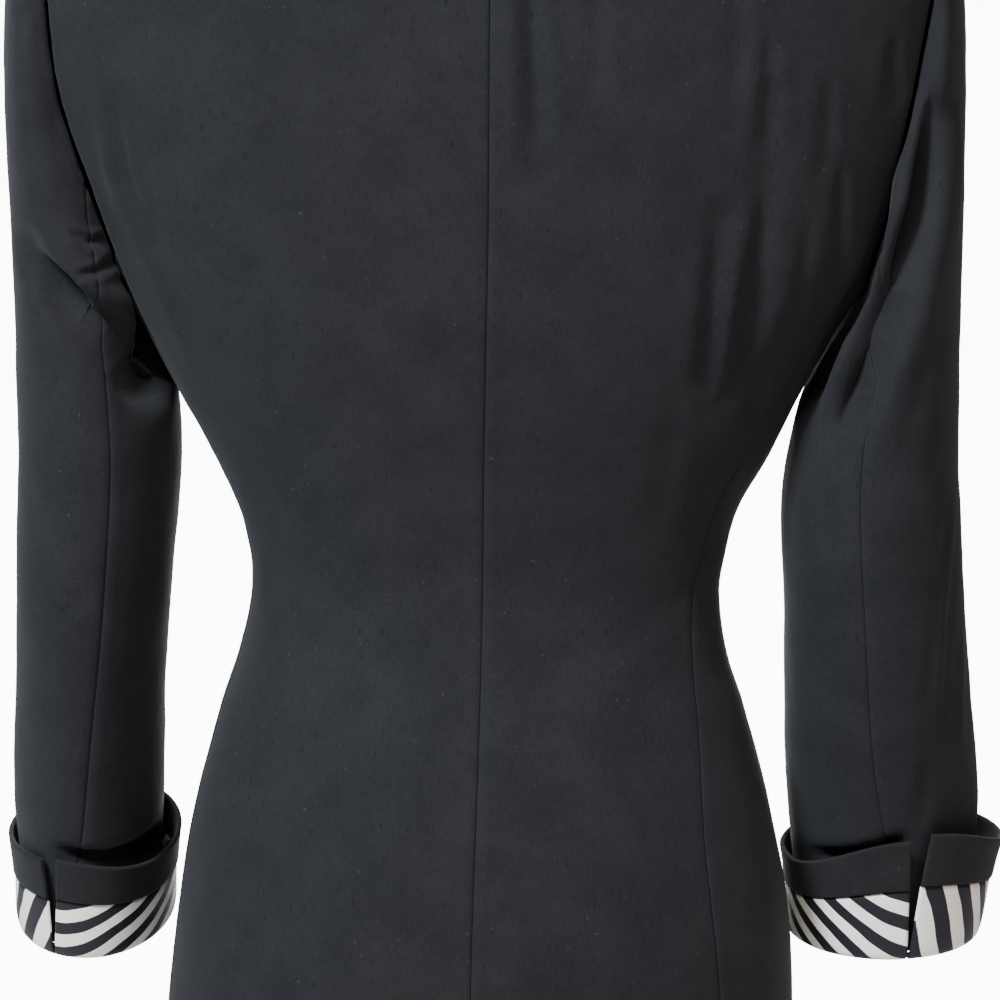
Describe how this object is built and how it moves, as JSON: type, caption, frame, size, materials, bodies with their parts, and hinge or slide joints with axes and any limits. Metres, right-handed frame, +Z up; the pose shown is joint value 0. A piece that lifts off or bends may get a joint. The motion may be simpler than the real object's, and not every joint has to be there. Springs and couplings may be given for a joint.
{
  "type": "blazer",
  "caption": "Fitted single-breasted blazer in dark wool cloth, filled out as worn, with notched lapels, two-piece sleeves and split turned-back cuffs over a striped facing",
  "frame": {"origin": "between the shoulders at the nape, just under the collar, where the garment is held up", "axes": "+Z up along the body, the front faces -Y, the wearer's left is +X"},
  "size_m": [0.513, 0.2532, 0.7034],
  "materials": {
    "cloth": "matte",
    "facing": "satin",
    "button": "satin"
  },
  "bodies": {
    "root": {"collar": "cloth", "button_upper": "button", "button_lower": "button", "back_left": "cloth", "front_left": "cloth", "side_left": "cloth", "lapel_left": "cloth", "sleeve_upper_left": "cloth", "sleeve_under_left": "cloth", "cuff_facing_left": "facing", "cuff_band_left": "cloth", "back_right": "cloth", "front_right": "cloth", "side_right": "cloth", "lapel_right": "cloth", "sleeve_upper_right": "cloth", "sleeve_under_right": "cloth", "cuff_facing_right": "facing", "cuff_band_right": "cloth"}
  },
  "joints": []
}
